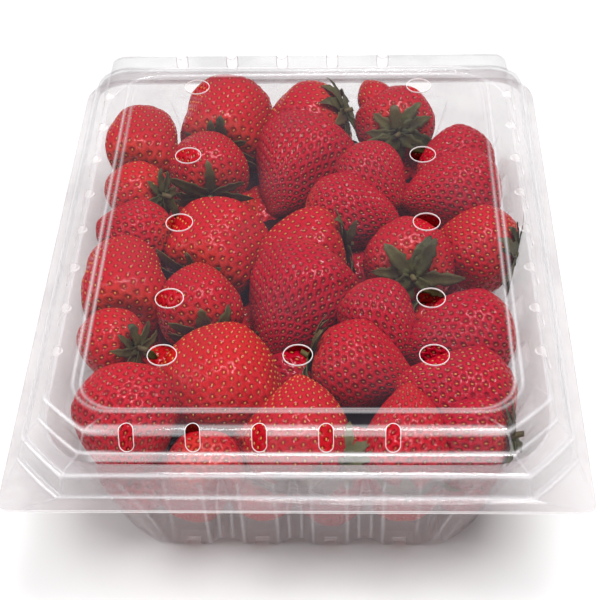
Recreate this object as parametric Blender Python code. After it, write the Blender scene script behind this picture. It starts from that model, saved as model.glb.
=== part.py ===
"""A hinged clear punnet filled with strawberries.

Three pieces: the tub, whose walls are ribbed and whose floor stands on small notched feet; the domed lid,
which nests over the tub's raised rim and turns on the fold along the back edge; and the heap of berries.
Everything is in metres. X is the width, Y the length with the front at -Y, and Z is up from the floor.
The origin is on the floor, under the middle of the flange.
"""

import copy
import math

import bmesh
import bpy
from mathutils import Matrix

MM = 0.001

# Driving sizes
WIDTH = 190.5 * MM
LENGTH = 241.0 * MM
PARTING = 52.0 * MM  # height of the tub's flange
HINGE = (0.0, LENGTH / 2 + 0.4 * MM, PARTING + 0.15 * MM)  # a point of the fold that the lid turns on
RIM_RISE = 8.0 * MM  # raised rim over the flange
DOME_RISE = 8.0 * MM  # dome over the rim
WALL = 0.8 * MM
GAP = 0.3 * MM  # between the tub's rim and the lid that lies on it
CLEARANCE = 1.0 * MM  # between the berries and what holds them

# Ribbed walls, feet and notches of the tub
PITCH = 24.2 * MM  # one wall channel and one rib
CHANNEL_FACE = 12.0 * MM
FRONT_CHANNELS = 4
SIDE_CHANNELS = 6
RIB_SLOPE = 0.17  # depth that a rib gains for each metre of height
RIB_TIP = 43.0 * MM
RIB_END = 50.0 * MM
RIB_LAND = 0.4 * MM  # smallest half width of a rib's land
FOOT_RISE = 3.4 * MM
FOOT_LENGTH = 8.0 * MM
FOOT_RUN_OUT = 15.5 * MM
ARCH_LAND = 2.2 * MM
NOTCH_WIDTH = 4.6 * MM
NOTCH_DEPTH = 3.5 * MM

# Vents of the lid
PANEL_DEPTH = 1.8 * MM
SLOT_PITCH = 21.4 * MM
SLOT_WIDTH = 5.0 * MM
SLOT_LENGTH = 9.5 * MM
SLOT_DROP = 2.3 * MM  # a slot's middle lies this far down the slope from the shoulder's edge
FRONT_SLOTS = 5
FIRST_FRONT_SLOT = -54.2 * MM
SIDE_SLOTS = 8
FIRST_SIDE_SLOT = -64.2 * MM
HOLE_DIAMETER = 10.2 * MM
HOLE_COLUMN = 46.0 * MM
HOLE_ROWS = (-64.5 * MM, -36.0 * MM, 5.9 * MM, 47.3 * MM, 94.5 * MM)

CORNER_STEPS = 4
ROUND = 2.0  # exponent of a round corner
CHAMFER = 1.06  # exponent of a corner cut off nearly straight
CUT = 1.0 * MM  # how far a cutter reaches past the wall

# Every berry of the top layer, placed by hand: x, y, height of its middle, width (mm)
TOP_BERRIES = (
    (-72, 77, 50, 32),
    (-35, 95, 48, 35),
    (-4, 94, 47, 33),
    (26, 101, 52, 22),
    (37, 94, 48, 34),
    (60, 66, 49, 30),
    (-68, 42, 53, 26),
    (-41, 66, 48, 33),
    (-3, 69, 43, 43),
    (27, 52, 51, 28),
    (58, 47, 48, 34),
    (-67, 18, 50, 29),
    (-33, 14, 47, 36),
    (18, 33, 48, 31),
    (40, 7, 47, 36),
    (63, 12, 48, 33),
    (-67, -9, 50, 33),
    (-38, -18, 49, 32),
    (-2, 10, 47, 33),
    (-2, -15, 44, 42),
    (29, -31, 50, 29),
    (56, -37, 47, 36),
    (-68, -44, 53, 25),
    (-28, -53, 42, 46),
    (22, -53, 48, 34),
    (-59, -76, 47, 37),
    (1, -80, 45, 38),
    (54, -66, 47, 37),
    (37, -84, 47, 34),
    (57, -85, 49, 27),
    (-31, -87, 38, 27),
)

RIM_LEVEL = PARTING + RIM_RISE
FLOOR_LEVEL = FOOT_RISE + WALL
FRONT_MIDDLE = -1.5 * MM  # the front and back walls' channels are centred here
SIDE_MIDDLE = 3.25 * MM  # and the side walls' channels here


def lerp(start, end, share):
    return start + (end - start) * share


def material(name, colour, roughness, alpha=1.0):
    made = bpy.data.materials.new(name)
    made.use_nodes = True
    shader = made.node_tree.nodes["Principled BSDF"]
    shader.inputs["Base Color"].default_value = (*colour, 1.0)
    shader.inputs["Roughness"].default_value = roughness
    shader.inputs["Metallic"].default_value = 0.0
    shader.inputs["Alpha"].default_value = alpha
    made.diffuse_color = (*colour, alpha)
    return made


def new_object(name, bm, finish=None):
    mesh = bpy.data.meshes.new(name)
    bm.to_mesh(mesh)
    bm.free()
    made = bpy.data.objects.new(name, mesh)
    bpy.context.scene.collection.objects.link(made)
    if finish:
        mesh.materials.append(finish)
    return made


def guide(name, bm):
    """A cutter or a helper, which is no piece of the object."""
    made = new_object(name, bm)
    made.hide_render = True
    made.display_type = "WIRE"
    return made


# ---------------------------------------------------------------- outlines
class Outline:
    """A rounded rectangle at one height, given by how far each side lies inside the flange's edge."""

    def __init__(self, level, front, side, back, front_corner, back_corner):
        self.level = level
        self.half_width = WIDTH / 2 - side
        self.front = -LENGTH / 2 + front
        self.back = LENGTH / 2 - back
        self.front_corner = front_corner  # reach along X, reach along Y, exponent
        self.back_corner = back_corner

    def moved_in(self, inward, level):
        """The same outline a little smaller all round, at another height."""
        smaller = copy.copy(self)
        smaller.level = level
        smaller.half_width -= inward
        smaller.front += inward
        smaller.back -= inward
        for name in ("front_corner", "back_corner"):
            reach_x, reach_y, exponent = getattr(self, name)
            setattr(smaller, name, (reach_x - inward, reach_y - inward, exponent))
        return smaller


def corner_points(centre, corner, x_way, y_way, from_x_side):
    """Points of one corner between its two straight sides, on a superellipse."""
    reach_x, reach_y, exponent = corner
    points = []
    for step in range(1, CORNER_STEPS):
        angle = math.pi / 2 * step / CORNER_STEPS
        if not from_x_side:
            angle = math.pi / 2 - angle
        x = centre[0] + x_way * reach_x * math.sin(angle) ** (2 / exponent)
        y = centre[1] + y_way * reach_y * math.cos(angle) ** (2 / exponent)
        points.append((x, y, min(1.0, 1.4 * math.sin(2 * angle) ** 2)))
    return points


def stations(start, end, middle, channels, depth, land):
    """Points along one side, as (place, depth into the tub, lift): lift is 0 on a channel and 1 on a rib."""
    if not channels:
        return [(start, 0.0, 0.0), (end, 0.0, 0.0)]
    half_gap = (PITCH - CHANNEL_FACE) / 2
    first = middle - (channels - 1) / 2 * PITCH - CHANNEL_FACE / 2
    last = middle + (channels - 1) / 2 * PITCH + CHANNEL_FACE / 2

    def end_rib(outer, inner):
        width = abs(outer - inner)
        inward = min(depth, 0.35 * max(width - 2 * MM, 0))
        lift = min(0.5, width / (10 * MM))
        return [
            (outer, 0.0, lift),
            (lerp(outer, inner, 0.41), inward, lift * 0.6),
            (lerp(outer, inner, 0.59), inward, lift * 0.4),
            (inner, 0.0, 0.0),
        ]

    found = end_rib(start, first)
    for rib in range(1, channels):
        centre = middle + (rib - channels / 2) * PITCH
        found += [
            (centre - half_gap, 0.0, 0.0),
            (centre - land, depth, 1.0),
            (centre + land, depth, 1.0),
            (centre + half_gap, 0.0, 0.0),
        ]
    return found + end_rib(end, last)[::-1]


def ring(outline, ribbed=False, depth=0.0, land=None, arch=0.0):
    """The outline as a closed list of points. Ribs stand depth inside it, and lie arch above the channels."""
    channels = (FRONT_CHANNELS, SIDE_CHANNELS) if ribbed else (0, 0)
    if land is None:
        half_gap = (PITCH - CHANNEL_FACE) / 2
        land = min(max(half_gap - depth, RIB_LAND), half_gap - 0.5 * MM)
    width, front, back = outline.half_width, outline.front, outline.back
    front_x, front_y = outline.front_corner[:2]
    back_x, back_y = outline.back_corner[:2]
    across = stations(-width + front_x, width - front_x, FRONT_MIDDLE, channels[0], depth, land)
    behind = stations(-width + back_x, width - back_x, FRONT_MIDDLE, channels[0], depth, land)
    along = stations(front + front_y, back - back_y, SIDE_MIDDLE, channels[1], depth, land)
    points = [(x, front + inward, lift) for x, inward, lift in across]
    points += corner_points((width - front_x, front + front_y), outline.front_corner, 1, -1, True)
    points += [(width - inward, y, lift) for y, inward, lift in along]
    points += corner_points((width - back_x, back - back_y), outline.back_corner, 1, 1, False)
    points += [(x, back - inward, lift) for x, inward, lift in reversed(behind)]
    points += corner_points((-width + back_x, back - back_y), outline.back_corner, -1, 1, True)
    points += [(-width + inward, y, lift) for y, inward, lift in reversed(along)]
    points += corner_points((-width + front_x, front + front_y), outline.front_corner, -1, -1, False)
    return [(x, y, outline.level + arch * lift) for x, y, lift in points]


def loft(rings, closed=False):
    """A sheet that faces up, from the first ring to a face across the last one, or a closed body."""
    bm = bmesh.new()
    loops = [[bm.verts.new(point) for point in points] for points in rings]
    for outer, inner in zip(loops, loops[1:]):
        for here in range(len(outer)):
            before = here - 1
            bm.faces.new((outer[before], outer[here], inner[here], inner[before]))
    bm.faces.new(loops[-1])
    if closed:
        bm.faces.new(loops[0][::-1])
        bmesh.ops.recalc_face_normals(bm, faces=bm.faces)
    return bm


def thicken(made, outwards):
    """Gives the skin its wall, on the side that its normals point to when outwards is true."""
    solidify = made.modifiers.new("wall", "SOLIDIFY")
    solidify.thickness = WALL
    solidify.offset = 1.0 if outwards else -1.0
    solidify.use_even_offset = True


def cut(made, cutter):
    boolean = made.modifiers.new(cutter.name, "BOOLEAN")
    boolean.operation = "DIFFERENCE"
    boolean.object = cutter


# ---------------------------------------------------------------- tub
def wall_outline(level):
    """The tub's wall, along its channels, at one height."""
    share = (RIM_LEVEL - level) / (RIM_LEVEL - FLOOR_LEVEL)
    corner = (
        lerp(20 * MM, 20.4 * MM, share),
        lerp(24 * MM, 26 * MM, share),
        ROUND,
    )
    return Outline(
        level,
        front=lerp(13.5 * MM, 28.1 * MM, share),
        side=lerp(12.0 * MM, 28.8 * MM, share),
        back=lerp(7.0 * MM, 21.6 * MM, share),
        front_corner=corner,
        back_corner=corner,
    )


def foot_places():
    """(x, y, unit vector out of the tub) of every foot's middle, at the wall's lower edge."""
    foot = wall_outline(FLOOR_LEVEL)
    places = []
    for number in range(FRONT_CHANNELS):
        x = FRONT_MIDDLE + (number - (FRONT_CHANNELS - 1) / 2) * PITCH
        places.append((x, foot.front, (0, -1)))
        places.append((x, foot.back, (0, 1)))
    for number in range(SIDE_CHANNELS):
        y = SIDE_MIDDLE + (number - (SIDE_CHANNELS - 1) / 2) * PITCH
        places.append((foot.half_width, y, (1, 0)))
        places.append((-foot.half_width, y, (-1, 0)))
    return places


def notch_cutter():
    """One box for each foot, through the wall's lower edge and the outer end of the foot."""
    bm = bmesh.new()
    reach = WALL + CUT
    for x, y, (out_x, out_y) in foot_places():
        across = NOTCH_WIDTH
        through = NOTCH_DEPTH + reach
        height = FLOOR_LEVEL + CUT
        box = bmesh.ops.create_cube(bm, size=1.0)["verts"]
        size = (through, across, height) if out_x else (across, through, height)
        bmesh.ops.scale(bm, verts=box, vec=size)
        shift = (reach - NOTCH_DEPTH) / 2
        bmesh.ops.translate(bm, verts=box, vec=(x + out_x * shift, y + out_y * shift, height / 2 - CUT))
    return guide("foot_notches", bm)


def tub(finish):
    edge = Outline(PARTING, 0, 0, 0, (3.5 * MM, 3.5 * MM, ROUND), (14 * MM, 14 * MM, ROUND))
    rim_foot = Outline(
        PARTING, 6.2 * MM, 4.5 * MM, 2.1 * MM, (16 * MM, 17 * MM, CHAMFER), (12 * MM, 12 * MM, ROUND)
    )
    rim_top = Outline(
        RIM_LEVEL, 8.8 * MM, 6.5 * MM, 3.3 * MM, (15 * MM, 16.5 * MM, CHAMFER), (11 * MM, 11 * MM, ROUND)
    )
    rings = [ring(edge, True), ring(rim_foot, True), ring(rim_top, True)]
    for level in (RIM_LEVEL, RIB_END):
        rings.append(ring(wall_outline(level), True))
    for level in (RIB_TIP, 25 * MM):
        rings.append(ring(wall_outline(level), True, depth=RIB_SLOPE * (level - FLOOR_LEVEL)))
    wall_foot = wall_outline(FLOOR_LEVEL)
    for inward in (0, FOOT_LENGTH):
        rings.append(ring(wall_foot.moved_in(inward, WALL), True, land=ARCH_LAND, arch=FOOT_RISE))
    rings.append(ring(wall_foot.moved_in(FOOT_RUN_OUT, FLOOR_LEVEL), True, land=ARCH_LAND))
    made = new_object("tub", loft(rings), finish)
    thicken(made, outwards=False)
    cut(made, notch_cutter())
    return made


# ---------------------------------------------------------------- lid
def shoulder_outline():
    return Outline(
        RIM_LEVEL + GAP + DOME_RISE,
        20.0 * MM,
        12.3 * MM,
        4.8 * MM,
        (14.9 * MM, 14.4 * MM, CHAMFER),
        (5.0 * MM, 5.0 * MM, ROUND),
    )


def vent_cutter():
    """Slots over the dome's shoulder on all four sides, and round holes through the panel."""
    bm = bmesh.new()
    shoulder = shoulder_outline()
    places = []
    for number in range(FRONT_SLOTS):
        x = FIRST_FRONT_SLOT + number * SLOT_PITCH
        places.append((x, shoulder.front, -math.pi / 2))
        places.append((x, shoulder.back, math.pi / 2))
    for number in range(SIDE_SLOTS):
        y = FIRST_SIDE_SLOT + number * SLOT_PITCH
        places.append((shoulder.half_width, y, 0.0))
        places.append((-shoulder.half_width, y, math.pi))
    for x, y, heading in places:
        slot(bm, x, y, shoulder.level, heading)
    holes = [(side * HOLE_COLUMN, y) for y in HOLE_ROWS for side in (-1, 1)]
    for x, y in holes + [(0.0, HOLE_ROWS[0])]:
        radius = HOLE_DIAMETER / 2
        hole = bmesh.ops.create_cone(
            bm, cap_ends=True, segments=12, radius1=radius, radius2=radius, depth=8 * MM
        )["verts"]
        bmesh.ops.translate(bm, verts=hole, vec=(x, y, shoulder.level))
    return guide("vents", bm)


def slot(bm, x, y, level, heading):
    """A round-ended bar that crosses the shoulder at 45 degrees, so that it opens the flat and the slope."""
    radius = SLOT_WIDTH / 2
    bar = bmesh.ops.create_cone(
        bm, cap_ends=True, segments=8, radius1=radius, radius2=radius, depth=14 * MM
    )["verts"]
    bmesh.ops.rotate(bm, verts=bar, matrix=Matrix.Rotation(math.pi / 8, 3, "Z"))
    stretch = (SLOT_LENGTH - SLOT_WIDTH) / 2
    for vert in bar:
        vert.co.x += math.copysign(stretch, vert.co.x) + SLOT_DROP
    bmesh.ops.rotate(bm, verts=bar, matrix=Matrix.Rotation(math.radians(45), 3, "Y"))
    bmesh.ops.rotate(bm, verts=bar, matrix=Matrix.Rotation(heading, 3, "Z"))
    bmesh.ops.translate(bm, verts=bar, vec=(x, y, level))


def lid(finish):
    base = PARTING + GAP
    rim = RIM_LEVEL + GAP
    shoulder = shoulder_outline()
    panel = (15 * MM, 15 * MM, ROUND)
    inner_panel = (13 * MM, 13 * MM, ROUND)
    outlines = (
        Outline(base, 0, 0, 0, (3.5 * MM, 3.5 * MM, ROUND), (14 * MM, 14 * MM, ROUND)),
        Outline(base, 5.3 * MM, 3.6 * MM, 1.2 * MM, (16 * MM, 17 * MM, CHAMFER), (12 * MM, 12 * MM, ROUND)),
        Outline(rim, 7.9 * MM, 5.6 * MM, 2.4 * MM, (15 * MM, 16.5 * MM, CHAMFER), (11 * MM, 11 * MM, ROUND)),
        Outline(rim, 17.5 * MM, 10.3 * MM, 3.6 * MM, (15 * MM, 15 * MM, CHAMFER), (7 * MM, 7 * MM, ROUND)),
        shoulder,
        Outline(shoulder.level, 28.4 * MM, 20.9 * MM, 14.3 * MM, panel, panel),
        Outline(shoulder.level - PANEL_DEPTH, 30.6 * MM, 23.1 * MM, 17.9 * MM, inner_panel, inner_panel),
    )
    bm = loft([ring(outline) for outline in outlines])
    bmesh.ops.translate(bm, verts=bm.verts, vec=[-place for place in HINGE])
    made = new_object("lid", bm, finish)
    made.location = HINGE
    thicken(made, outwards=True)
    cut(made, vent_cutter())
    return made


# ---------------------------------------------------------------- berries
def packed_outline(level, rib_depth):
    """The tub's inside, clear of its ribs, where the berries end."""
    return wall_outline(level).moved_in(rib_depth + CLEARANCE, level)


def under_lid(level):
    """The space over the tub's opening and inside the lid's dome."""
    space = wall_outline(RIM_LEVEL).moved_in(CLEARANCE, level)
    space.front = shoulder_outline().front - 0.5 * MM
    return space


def inner_space():
    """Everything that the berries may fill: the tub between its ribs, and the low dome of the lid."""
    deepest = RIB_SLOPE * (RIB_TIP - FLOOR_LEVEL)
    outlines = (
        packed_outline(FLOOR_LEVEL + CLEARANCE, 0),
        packed_outline(RIB_TIP, deepest),
        packed_outline(RIB_END, 0),
        packed_outline(RIM_LEVEL - 3 * MM, 0),
        under_lid(RIM_LEVEL),
        under_lid(RIM_LEVEL + DOME_RISE - PANEL_DEPTH - CLEARANCE),
    )
    return guide("inner_space", loft([ring(outline) for outline in outlines], closed=True))


def berries(finish):
    """The packed berries as one body, with each berry of the top layer standing out of it."""
    core = (packed_outline(FLOOR_LEVEL + CLEARANCE, 0), packed_outline(RIB_TIP, 9 * MM))
    made = new_object("berries", loft([ring(outline) for outline in core], closed=True), finish)
    heap = bpy.data.collections.new("top_layer")
    bpy.context.scene.collection.children.link(heap)
    for number, (x, y, level, width) in enumerate(TOP_BERRIES):
        bm = bmesh.new()
        bmesh.ops.create_uvsphere(bm, u_segments=10, v_segments=7, radius=width / 2 * MM)
        bmesh.ops.rotate(bm, verts=bm.verts, matrix=Matrix.Rotation(number * 0.7, 3, "Z"))
        bmesh.ops.translate(bm, verts=bm.verts, vec=(x * MM, y * MM, level * MM))
        berry = guide(f"top_berry_{number}", bm)
        bpy.context.scene.collection.objects.unlink(berry)
        heap.objects.link(berry)
    union = made.modifiers.new("heap", "BOOLEAN")
    union.operation = "UNION"
    union.operand_type = "COLLECTION"
    union.collection = heap
    keep = made.modifiers.new("keep_inside", "BOOLEAN")
    keep.operation = "INTERSECT"
    keep.object = inner_space()
    return made


def main():
    for old in list(bpy.data.objects):
        bpy.data.objects.remove(old, do_unlink=True)
    film = material("clear_plastic", (0.86, 0.87, 0.88), 0.08, alpha=0.25)
    fruit = material("strawberry_red", (0.62, 0.03, 0.05), 0.35)
    tub(film)
    lid(film)
    berries(fruit)


main()
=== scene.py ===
"""The looks of a hinged clear punnet of strawberries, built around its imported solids.

Everything is in metres, in the frame of the solids: X is the width, Y the length with the front at -Y,
and Z is up from the floor. The shells of clear plastic, every strawberry, its seeds and its leaves are
made here. They stand for the plain solids "tub", "lid" and "berries".
"""

import copy
import math
import random

import bmesh
import bpy
from mathutils import Matrix, Vector, noise


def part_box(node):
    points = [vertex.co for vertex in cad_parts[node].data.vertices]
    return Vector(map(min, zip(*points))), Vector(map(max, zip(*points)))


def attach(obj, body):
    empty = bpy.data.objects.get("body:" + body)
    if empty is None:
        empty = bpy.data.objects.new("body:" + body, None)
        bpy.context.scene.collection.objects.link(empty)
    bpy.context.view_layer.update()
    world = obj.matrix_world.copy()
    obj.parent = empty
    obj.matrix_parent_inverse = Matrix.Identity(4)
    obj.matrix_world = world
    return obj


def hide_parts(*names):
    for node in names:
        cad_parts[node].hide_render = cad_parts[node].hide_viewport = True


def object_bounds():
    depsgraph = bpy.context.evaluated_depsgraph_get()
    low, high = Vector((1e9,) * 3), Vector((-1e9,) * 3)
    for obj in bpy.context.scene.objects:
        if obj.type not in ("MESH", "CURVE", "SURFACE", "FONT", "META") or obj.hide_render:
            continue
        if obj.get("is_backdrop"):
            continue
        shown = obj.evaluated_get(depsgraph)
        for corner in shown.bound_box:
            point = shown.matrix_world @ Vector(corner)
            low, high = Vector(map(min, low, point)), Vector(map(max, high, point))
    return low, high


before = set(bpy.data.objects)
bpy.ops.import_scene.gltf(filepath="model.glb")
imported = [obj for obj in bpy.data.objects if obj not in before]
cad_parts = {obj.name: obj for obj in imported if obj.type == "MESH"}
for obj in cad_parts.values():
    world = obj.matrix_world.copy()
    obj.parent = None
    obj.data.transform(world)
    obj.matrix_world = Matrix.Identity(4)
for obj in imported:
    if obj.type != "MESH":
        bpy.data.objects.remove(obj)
cad_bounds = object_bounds()

MM = 0.001

TUB_LOW, TUB_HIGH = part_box("tub")
WIDTH = TUB_HIGH.x - TUB_LOW.x
LENGTH = TUB_HIGH.y - TUB_LOW.y
# Tub and lid: heights and insets in millimetres, other sizes in metres
RIM_LEVEL = 60.0  # top of the tub's raised rim
PARTING = 52.0  # height of the flange
FLOOR_LEVEL = 4.2  # inside of the floor
RIB_TIP = 43.0
RIB_END = 50.0
RIB_SLOPE = 0.17  # depth that a rib gains with its height
FOOT_RISE = 3.4 * MM
FOOT_LENGTH = 8.0
FOOT_RUN_OUT = 15.5
PANEL_DEPTH = 1.8
PITCH = 24.2 * MM  # one wall channel and one rib
CHANNEL_FACE = 12.0 * MM
FRONT_CHANNELS = 4
SIDE_CHANNELS = 6
FRONT_MIDDLE = -1.5 * MM  # the front and back walls' channels are centred here
SIDE_MIDDLE = 3.25 * MM  # and the side walls' channels here
RIB_LAND = 0.4 * MM
ARCH_LAND = 2.2 * MM
NOTCH_WIDTH = 4.6 * MM
NOTCH_DEPTH = 3.5 * MM
WALL = 0.45 * MM
SLOT_PITCH = 21.4 * MM
SLOT_WIDTH = 5.0 * MM
SLOT_LENGTH = 9.5 * MM
SLOT_DROP = 2.3 * MM
FRONT_SLOTS = 5
FIRST_FRONT_SLOT = -54.2 * MM
SIDE_SLOTS = 8
FIRST_SIDE_SLOT = -64.2 * MM
HOLE_DIAMETER = 10.2 * MM
HOLE_COLUMN = 46.0 * MM
HOLE_ROWS = (-64.5 * MM, -36.0 * MM, 5.9 * MM, 47.3 * MM, 94.5 * MM)
CORNER_STEPS = 8
SOFTNESS = 0.8 * MM  # how gently a berry flattens against the plastic
PRESS = 0.5 * MM  # gap that stays between a berry and the plastic
LID_INSIDE = 66.0 * MM  # under the lid's panel
ROUND = 2.0  # exponent of a round corner
CHAMFER = 1.06  # exponent of a corner cut off nearly straight


# ---------------------------------------------------------------- shader helpers
class Value:
    """One socket of a material, so that its maths reads as plain sums."""

    def __init__(self, finish, socket):
        self.finish = finish
        self.socket = socket

    def sum_of(self, operation, first, second):
        return self.finish.node("ShaderNodeMath", {"operation": operation}, {0: first, 1: second})

    def __add__(self, other):
        return self.sum_of("ADD", self, other)

    def __sub__(self, other):
        return self.sum_of("SUBTRACT", self, other)

    def __rsub__(self, other):
        return self.sum_of("SUBTRACT", other, self)

    def __mul__(self, other):
        return self.sum_of("MULTIPLY", self, other)

    def __pow__(self, other):
        return self.sum_of("POWER", self, other)

    __radd__ = __add__
    __rmul__ = __mul__

    def step(self, low, high):
        """0 below low and 1 above high, smooth between them."""
        inputs = {"Value": self, "From Min": low, "From Max": high}
        settings = {"interpolation_type": "SMOOTHSTEP"}
        return self.finish.node("ShaderNodeMapRange", settings, inputs)


class Finish:
    """A material with one Principled shader, whose constants are set by keyword."""

    def __init__(self, name, **constants):
        self.material = bpy.data.materials.new(name)
        self.material.use_nodes = True
        self.tree = self.material.node_tree
        self.shader = self.tree.nodes["Principled BSDF"]
        for key, value in constants.items():
            self.shader.inputs[key.replace("_", " ")].default_value = value
        self.place = self.node("ShaderNodeTexCoord", output="Object")

    def node(self, kind, settings=None, inputs=None, output=0):
        made = self.tree.nodes.new(kind)
        for key, value in (settings or {}).items():
            setattr(made, key, value)
        for key, value in (inputs or {}).items():
            self.feed(made.inputs[key], value)
        return Value(self, made.outputs[output])

    def feed(self, socket, value):
        if isinstance(value, Value):
            self.tree.links.new(value.socket, socket)
        else:
            socket.default_value = value

    def set(self, **inputs):
        for key, value in inputs.items():
            self.feed(self.shader.inputs[key.replace("_", " ")], value)

    def attribute(self, name):
        return self.node("ShaderNodeAttribute", {"attribute_name": name}, output="Fac")

    def noise(self, scale, detail=2.0, roughness=0.5):
        inputs = {"Vector": self.place, "Scale": scale, "Detail": detail, "Roughness": roughness}
        return self.node("ShaderNodeTexNoise", None, inputs)

    def mix(self, share, first, second):
        """A colour that goes from first to second as share goes from 0 to 1."""
        made = self.tree.nodes.new("ShaderNodeMix")
        made.data_type = "RGBA"
        for number, value in ((0, share), (6, first), (7, second)):
            if isinstance(value, tuple):
                value = (*value, 1.0)
            self.feed(made.inputs[number], value)
        return Value(self, made.outputs[2])

    def bump(self, height, distance, strength=1.0):
        inputs = {"Height": height, "Distance": distance, "Strength": strength}
        self.set(Normal=self.node("ShaderNodeBump", None, inputs))


# ---------------------------------------------------------------- finishes
def strawberry_flesh():
    finish = Finish(
        "strawberry_flesh",
        Roughness=0.3,
        IOR=1.4,
        Specular_IOR_Level=0.06,
        Subsurface_Weight=0.08,
        Subsurface_Scale=0.003,
        Coat_Weight=0.35,
        Coat_Roughness=0.06,
    )
    finish.shader.inputs["Subsurface Radius"].default_value = (1.0, 0.2, 0.12)
    patches = finish.noise(70.0, 3.0).step(0.35, 0.7)
    ripe = finish.attribute("ripe")
    pit = finish.attribute("pit")
    shoulder = finish.attribute("shoulder")
    colour = finish.mix(ripe, (0.52, 0.012, 0.007), (0.37, 0.001, 0.019))
    colour = finish.mix(patches * 0.4, colour, (0.46, 0.001, 0.013))
    colour = finish.mix(shoulder * 0.4, colour, (0.62, 0.08, 0.03))
    # painted shade: the flesh darker in the pits, the more so the riper the berry
    colour = finish.mix(pit * (0.25 + ripe * 0.45), colour, (0.20, 0.001, 0.008))
    fine = finish.noise(1500.0, 2.0)
    finish.set(Base_Color=colour, Roughness=0.28 + fine * 0.14 + pit * 0.1)
    finish.bump(fine, 0.00012, 0.5)
    return finish.material


def strawberry_seeds():
    finish = Finish("strawberry_seeds", Roughness=0.35, IOR=1.45, Coat_Weight=0.3, Coat_Roughness=0.2)
    gold = finish.attribute("gold")
    speck = finish.noise(900.0, 2.0)
    colour = finish.mix(gold, (0.22, 0.02, 0.012), (0.64, 0.26, 0.04))
    colour = finish.mix(speck.step(0.4, 0.75) * 0.4, colour, (0.45, 0.22, 0.03))
    finish.set(Base_Color=colour, Roughness=0.3 + speck * 0.2)
    return finish.material


def leaf_green():
    finish = Finish("leaf_green", Roughness=0.55, IOR=1.4)
    dry = finish.attribute("dry")
    veins = finish.noise(420.0, 3.0, 0.6)
    patches = finish.noise(110.0, 2.0)
    colour = finish.mix(patches.step(0.3, 0.7), (0.016, 0.018, 0.006), (0.074, 0.080, 0.022))
    colour = finish.mix(veins.step(0.45, 0.75) * 0.5, colour, (0.10, 0.12, 0.040))
    colour = finish.mix(dry * 0.7, colour, (0.16, 0.09, 0.035))
    finish.set(Base_Color=colour, Roughness=0.5 + veins * 0.25)
    finish.bump(veins, 0.0004, 0.6)
    return finish.material


def painted_shade_fruit():
    finish = Finish("painted_shade_fruit", Roughness=0.8, Specular_IOR_Level=0.1)
    patches = finish.noise(60.0, 3.0)
    # painted shade: nearly black for the shadowed depths of the heap
    colour = finish.mix(patches.step(0.35, 0.7), (0.006, 0.001, 0.001), (0.04, 0.002, 0.003))
    finish.set(Base_Color=colour)
    return finish.material


def clear_film(name, haze, tint, crease_highlight, glints):
    """Thin clear plastic: a faint haze, with a painted highlight that makes it whiter and less clear along its
    creases, and a painted reflection that makes it greyer and less clear at a low angle.
    """
    finish = Finish(name, Roughness=0.12, IOR=1.5, Specular_IOR_Level=0.6, Coat_Weight=0.5)
    finish.shader.inputs["Coat IOR"].default_value = 1.8
    finish.shader.inputs["Coat Roughness"].default_value = 0.05
    crease = finish.attribute("crease")
    facing = finish.node("ShaderNodeLayerWeight", None, {"Blend": 0.35}, "Facing")
    streaks = finish.noise(32.0, 3.0, 0.6).step(0.42, 0.8)
    waves = finish.noise(28.0, 1.0)
    # painted reflection: greyer and less clear where the sheet is seen at a low angle
    edge = facing ** 2.0
    # painted highlight: whiter and less clear along the middle of every bend, where a lamp would be reflected
    painted_highlight = crease
    cover = haze + streaks * 0.06 + crease * crease_highlight + edge * 0.22
    if glints:
        painted_glints = painted_front_glints(finish)
        painted_highlight = painted_highlight + painted_glints
        cover = cover + painted_glints * 0.10
    colour = finish.mix(edge, tint, (0.50, 0.49, 0.50))
    colour = finish.mix(painted_highlight, colour, (0.78, 0.76, 0.78))
    finish.set(Base_Color=colour, Alpha=cover, Roughness=0.07 + streaks * 0.08)
    finish.bump(waves, 0.004, 0.35)
    return finish.material


def painted_front_glints(finish):
    """Two painted highlights across the lid's front, standing in for a lamp's reflection in its bends: along the
    edge of its shoulder and the foot of its slope.
    """
    split = finish.tree.nodes.new("ShaderNodeSeparateXYZ")
    finish.feed(split.inputs[0], finish.place)
    x, y, z = (Value(finish, output) for output in split.outputs)
    middle = (1 - x.step(0.064, 0.070)) * x.step(-0.070, -0.064)
    upper = z.step(0.0662, 0.0670) * (1 - y.step(-0.0990, -0.0974))
    lower = (1 - z.step(0.0608, 0.0616)) * y.step(-0.1074, -0.1066) * (1 - y.step(-0.1010, -0.1000))
    return middle * (upper + lower)


def cut_edge_glow(name, strength):
    """Where the plastic is cut, light leaves its edge and it looks white; this is painted on every cut face as a
    near-white painted highlight.
    """
    finish = Finish(name, Roughness=0.3, IOR=1.5)
    grain = finish.noise(600.0, 2.0)
    # painted highlight: near-white colour and a raised cover on every cut face
    finish.set(Base_Color=finish.mix(grain, (0.90, 0.86, 0.88), (1.0, 0.98, 0.99)), Alpha=strength + grain * 0.05)
    return finish.material


# ---------------------------------------------------------------- meshes
def piece(name, bm, materials, smooth=True):
    mesh = bpy.data.meshes.new(name)
    bm.to_mesh(mesh)
    bm.free()
    if smooth:
        mesh.shade_smooth()
    for material in materials:
        mesh.materials.append(material)
    made = bpy.data.objects.new(name, mesh)
    bpy.context.scene.collection.objects.link(made)
    return made


def shade(value, low, high):
    """0 below low and 1 above high, smooth between them."""
    share = min(max((value - low) / (high - low), 0.0), 1.0)
    return share * share * (3 - 2 * share)


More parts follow.
